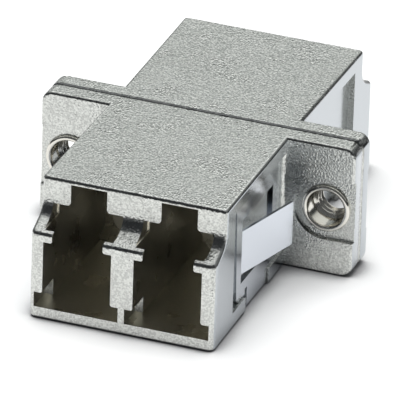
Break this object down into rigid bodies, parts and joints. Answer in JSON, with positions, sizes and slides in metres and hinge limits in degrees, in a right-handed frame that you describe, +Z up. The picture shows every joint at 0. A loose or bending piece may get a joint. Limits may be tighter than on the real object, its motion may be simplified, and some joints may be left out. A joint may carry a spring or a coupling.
{
  "type": "lc fibre adapter",
  "caption": "Duplex metal adapter that joins LC fibre plugs end to end, with a screw flange at its middle and a sprung panel clip.",
  "frame": {"origin": "on the underside, in the parting plane of the two halves and midway between the two ports", "axes": "+X along the flange, +Y along the fibres towards the rear half, +Z up, away from the underside"},
  "size_m": [0.022, 0.03, 0.0093],
  "materials": {
    "plated_zinc": "fine-grained satin nickel plate on a zinc die casting",
    "plated_brass": "bright nickel plate",
    "spring_steel": "smooth rolled stainless spring strip",
    "zirconia": "polished zirconia"
  },
  "bodies": {
    "root": {"front_housing": "plated_zinc", "rear_housing": "plated_zinc", "left_bushing": "plated_brass", "right_bushing": "plated_brass", "spring_clip": "spring_steel", "left_sleeve": "zirconia", "right_sleeve": "zirconia"}
  },
  "joints": []
}
